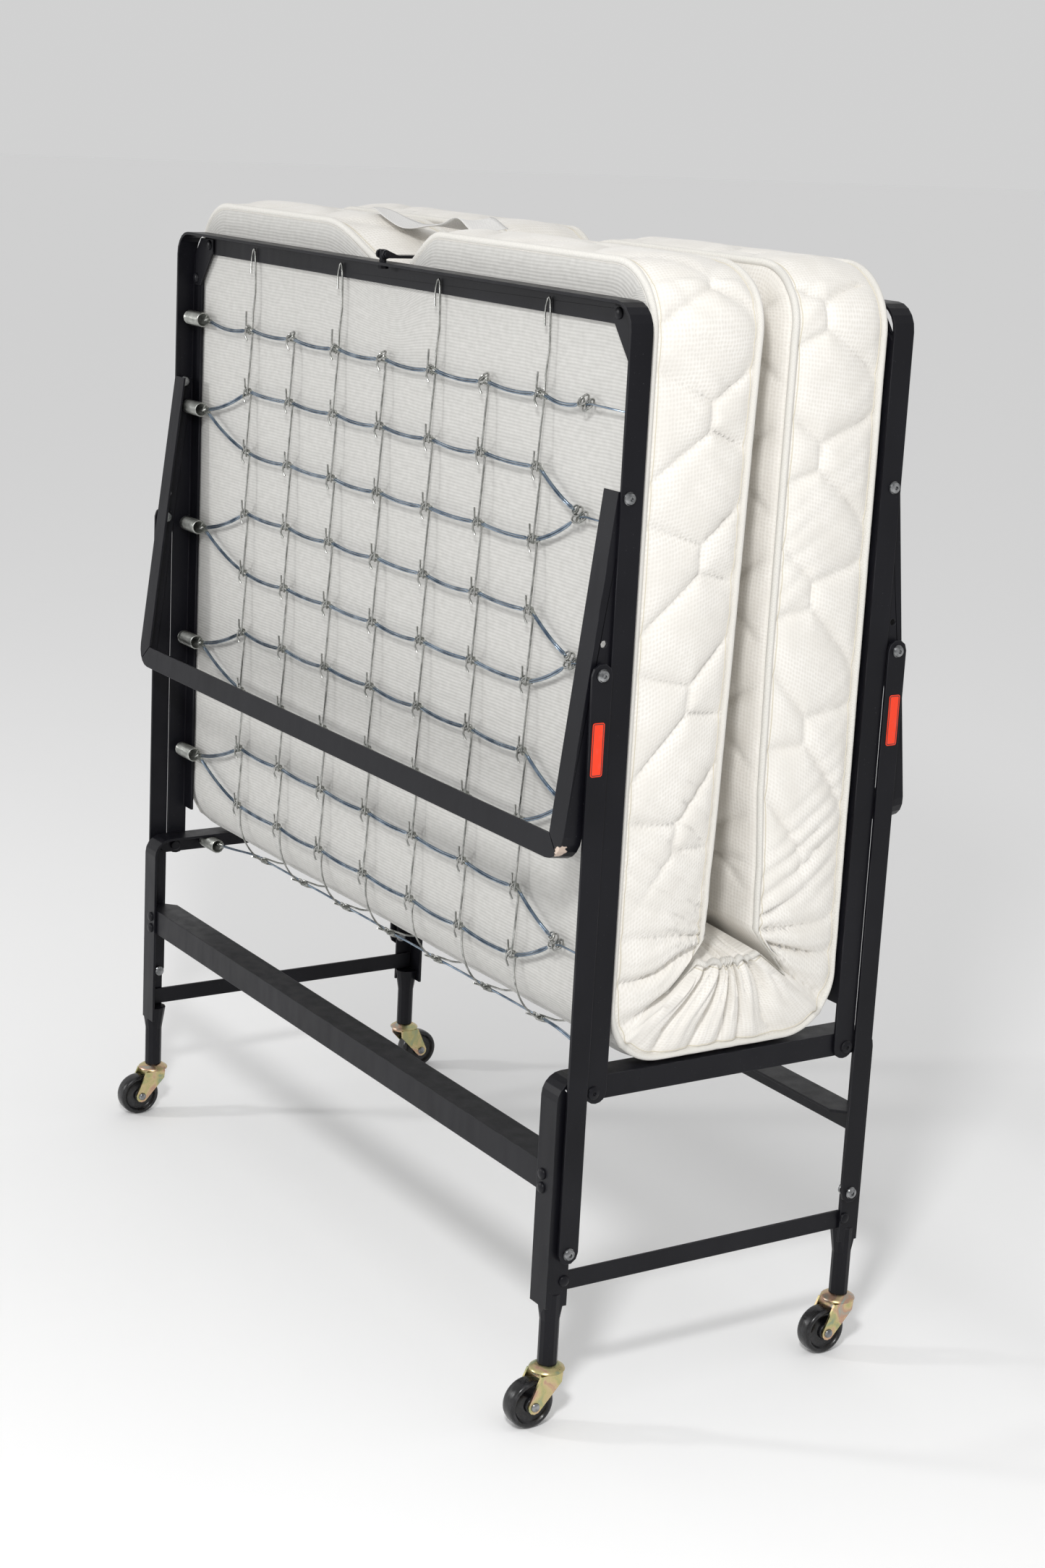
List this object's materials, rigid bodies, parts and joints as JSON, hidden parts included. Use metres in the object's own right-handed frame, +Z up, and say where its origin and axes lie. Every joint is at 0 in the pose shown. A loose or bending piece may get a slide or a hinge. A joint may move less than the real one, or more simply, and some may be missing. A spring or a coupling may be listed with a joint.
{
  "type": "folding cot",
  "caption": "Folding bed that stands folded upright on casters, with a sprung deck in two halves, leg frames on linked arms and a foam mattress.",
  "frame": {"origin": "middle of the footprint, on the floor under the wheels, with the cot folded", "axes": "+X along the bed's width, +Y along its length when open, towards the far half, +Z up"},
  "size_m": [1.001, 0.475, 1.18],
  "materials": {
    "black_frame": "satin black powder coat",
    "zinc_bolt": "bright zinc plate",
    "yellow_zinc": "yellow passivated zinc, slightly iridescent",
    "wheel_black": "gloss black moulded tread",
    "spring_wire": "galvanised wire",
    "mattress_fabric": "quilted white damask with a ribbed grey underside",
    "orange_label": "plain orange vinyl label without text"
  },
  "bodies": {
    "base": {"base_side_frame_right": "black_frame", "lower_brace_right": "black_frame", "base_side_frame_left": "black_frame", "lower_brace_left": "black_frame", "cross_bar_front": "black_frame", "cross_bar_rear": "black_frame", "deck_pivot_bolt_near_right": "black_frame", "link_base_bolt_near_right": "zinc_bolt", "caster_stem_near_right": "yellow_zinc", "deck_pivot_bolt_near_left": "black_frame", "link_base_bolt_near_left": "zinc_bolt", "caster_stem_near_left": "yellow_zinc", "deck_pivot_bolt_far_right": "black_frame", "link_base_bolt_far_right": "zinc_bolt", "caster_stem_far_right": "yellow_zinc", "deck_pivot_bolt_far_left": "black_frame", "link_base_bolt_far_left": "zinc_bolt", "caster_stem_far_left": "yellow_zinc", "mattress_middle": "mattress_fabric", "spring_fabric_middle": "spring_wire"},
    "deck_near": {"deck_frame_near": "black_frame", "mattress_near": "mattress_fabric", "spring_fabric_near": "spring_wire", "corner_gusset_near_right": "black_frame", "corner_gusset_near_left": "black_frame", "leg_pivot_bolt_near_right": "zinc_bolt", "leg_pivot_bolt_near_left": "zinc_bolt", "latch_post": "zinc_bolt", "latch_pin": "zinc_bolt"},
    "leg_near": {"leg_frame_near": "black_frame"},
    "links_near": {"link_bar_near_right": "black_frame", "link_bar_near_left": "black_frame", "link_leg_bolt_near_right": "zinc_bolt", "link_leg_bolt_near_left": "zinc_bolt"},
    "deck_far": {"deck_frame_far": "black_frame", "mattress_far": "mattress_fabric", "spring_fabric_far": "spring_wire", "corner_gusset_far_right": "black_frame", "corner_gusset_far_left": "black_frame", "leg_pivot_bolt_far_right": "zinc_bolt", "leg_pivot_bolt_far_left": "zinc_bolt"},
    "leg_far": {"leg_frame_far": "black_frame"},
    "links_far": {"link_bar_far_right": "black_frame", "link_bar_far_left": "black_frame", "link_leg_bolt_far_right": "zinc_bolt", "link_leg_bolt_far_left": "zinc_bolt"},
    "latch": {"latch_hook": "black_frame"},
    "swivel_near_right": {"caster_fork_near_right": "yellow_zinc", "caster_axle_near_right": "zinc_bolt"},
    "wheel_near_right": {"caster_wheel_near_right": "wheel_black"},
    "swivel_near_left": {"caster_fork_near_left": "yellow_zinc", "caster_axle_near_left": "zinc_bolt"},
    "wheel_near_left": {"caster_wheel_near_left": "wheel_black"},
    "swivel_far_right": {"caster_fork_far_right": "yellow_zinc", "caster_axle_far_right": "zinc_bolt"},
    "wheel_far_right": {"caster_wheel_far_right": "wheel_black"},
    "swivel_far_left": {"caster_fork_far_left": "yellow_zinc", "caster_axle_far_left": "zinc_bolt"},
    "wheel_far_left": {"caster_wheel_far_left": "wheel_black"}
  },
  "joints": [
    {"name": "near_fold", "type": "hinge", "parent": "base", "child": "deck_near", "pos_m": [0, -0.162, 0.359], "axis": [1, 0, 0], "range_deg": [0, 90]},
    {"name": "near_link_turn", "type": "hinge", "parent": "base", "child": "links_near", "pos_m": [0, -0.1826, 0.19], "axis": [1, 0, 0], "range_deg": [0, 90]},
    {"name": "near_leg_turn", "type": "hinge", "parent": "deck_near", "child": "leg_near", "pos_m": [0, -0.162, 0.957], "axis": [1, 0, 0], "range_deg": [-90, 0]},
    {"name": "far_fold", "type": "hinge", "parent": "base", "child": "deck_far", "pos_m": [0, 0.162, 0.359], "axis": [-1, 0, 0], "range_deg": [0, 90]},
    {"name": "far_link_turn", "type": "hinge", "parent": "base", "child": "links_far", "pos_m": [0, 0.1826, 0.19], "axis": [-1, 0, 0], "range_deg": [0, 90]},
    {"name": "far_leg_turn", "type": "hinge", "parent": "deck_far", "child": "leg_far", "pos_m": [0, 0.162, 0.957], "axis": [-1, 0, 0], "range_deg": [-90, 0]},
    {"name": "latch_lift", "type": "hinge", "parent": "deck_near", "child": "latch", "pos_m": [0, -0.16, 1.148], "axis": [1, 0, 0], "range_deg": [0, 110]},
    {"name": "swivel_near_right", "type": "hinge", "parent": "base", "child": "swivel_near_right", "pos_m": [0.48, -0.1905, 0.057], "axis": [0, 0, 1], "continuous": true},
    {"name": "wheel_near_right", "type": "hinge", "parent": "swivel_near_right", "child": "wheel_near_right", "pos_m": [0.48, -0.2115, 0.026], "axis": [1, 0, 0], "continuous": true},
    {"name": "swivel_near_left", "type": "hinge", "parent": "base", "child": "swivel_near_left", "pos_m": [-0.48, -0.1905, 0.057], "axis": [0, 0, 1], "continuous": true},
    {"name": "wheel_near_left", "type": "hinge", "parent": "swivel_near_left", "child": "wheel_near_left", "pos_m": [-0.48, -0.2115, 0.026], "axis": [1, 0, 0], "continuous": true},
    {"name": "swivel_far_right", "type": "hinge", "parent": "base", "child": "swivel_far_right", "pos_m": [0.48, 0.1905, 0.057], "axis": [0, 0, 1], "continuous": true},
    {"name": "wheel_far_right", "type": "hinge", "parent": "swivel_far_right", "child": "wheel_far_right", "pos_m": [0.48, 0.1695, 0.026], "axis": [1, 0, 0], "continuous": true},
    {"name": "swivel_far_left", "type": "hinge", "parent": "base", "child": "swivel_far_left", "pos_m": [-0.48, 0.1905, 0.057], "axis": [0, 0, 1], "continuous": true},
    {"name": "wheel_far_left", "type": "hinge", "parent": "swivel_far_left", "child": "wheel_far_left", "pos_m": [-0.48, 0.2115, 0.026], "axis": [1, 0, 0], "continuous": true}
  ],
  "couplings": [
    {"joint": "near_link_turn", "follows": "near_fold", "ratio": 1},
    {"joint": "near_leg_turn", "follows": "near_fold", "ratio": -1},
    {"joint": "far_link_turn", "follows": "far_fold", "ratio": 1},
    {"joint": "far_leg_turn", "follows": "far_fold", "ratio": -1}
  ]
}
